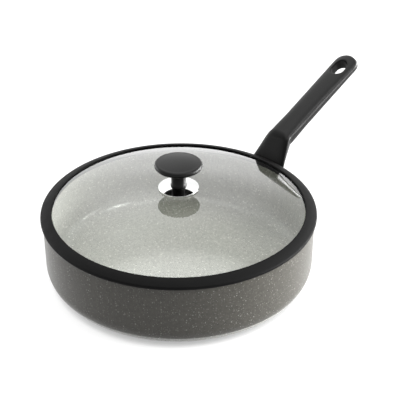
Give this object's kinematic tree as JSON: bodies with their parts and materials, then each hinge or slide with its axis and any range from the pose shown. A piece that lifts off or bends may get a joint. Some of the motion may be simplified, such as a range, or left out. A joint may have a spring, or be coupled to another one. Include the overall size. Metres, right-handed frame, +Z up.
{
  "type": "saute pan with lid",
  "caption": "Round stone-coated saute pan with a moulded handle and a domed glass lid with silicone rim and knob; the lid lifts off.",
  "frame": {"origin": "centre of the pan's flat base, on the table it stands on", "axes": "+Z up, out of the pan; +X from the pan's axis towards the end of the handle; +Y to the left of the handle seen from the pan"},
  "size_m": [0.4511, 0.2922, 0.1566],
  "materials": {
    "granite_coating": "satin, speckled stone-look non-stick coating on cast aluminium",
    "base_steel": "brushed ferritic steel",
    "lug_steel": "plain steel",
    "phenolic": "matt moulded phenolic",
    "fastener_steel": "stainless fasteners",
    "tempered_glass": "clear tempered glass",
    "silicone": "satin black silicone",
    "seal_silicone": "matt black silicone",
    "polished_steel": "mirror polished stainless steel",
    "brass": "turned brass"
  },
  "bodies": {
    "pan": {"pan_body": "granite_coating", "induction_plate": "base_steel", "handle_lug": "lug_steel", "handle": "phenolic", "handle_washer": "fastener_steel", "handle_screw": "fastener_steel"},
    "lid": {"lid_glass": "tempered_glass", "silicone_rim": "silicone", "upper_seal": "seal_silicone", "escutcheon": "polished_steel", "knob": "phenolic", "knob_insert": "brass", "lower_seal": "seal_silicone", "lower_washer": "fastener_steel", "knob_screw": "fastener_steel"}
  },
  "joints": [
    {"name": "lid_lift", "type": "slide", "parent": "pan", "child": "lid", "axis": [0, 0, 1], "range_m": [0, 0.15]}
  ]
}
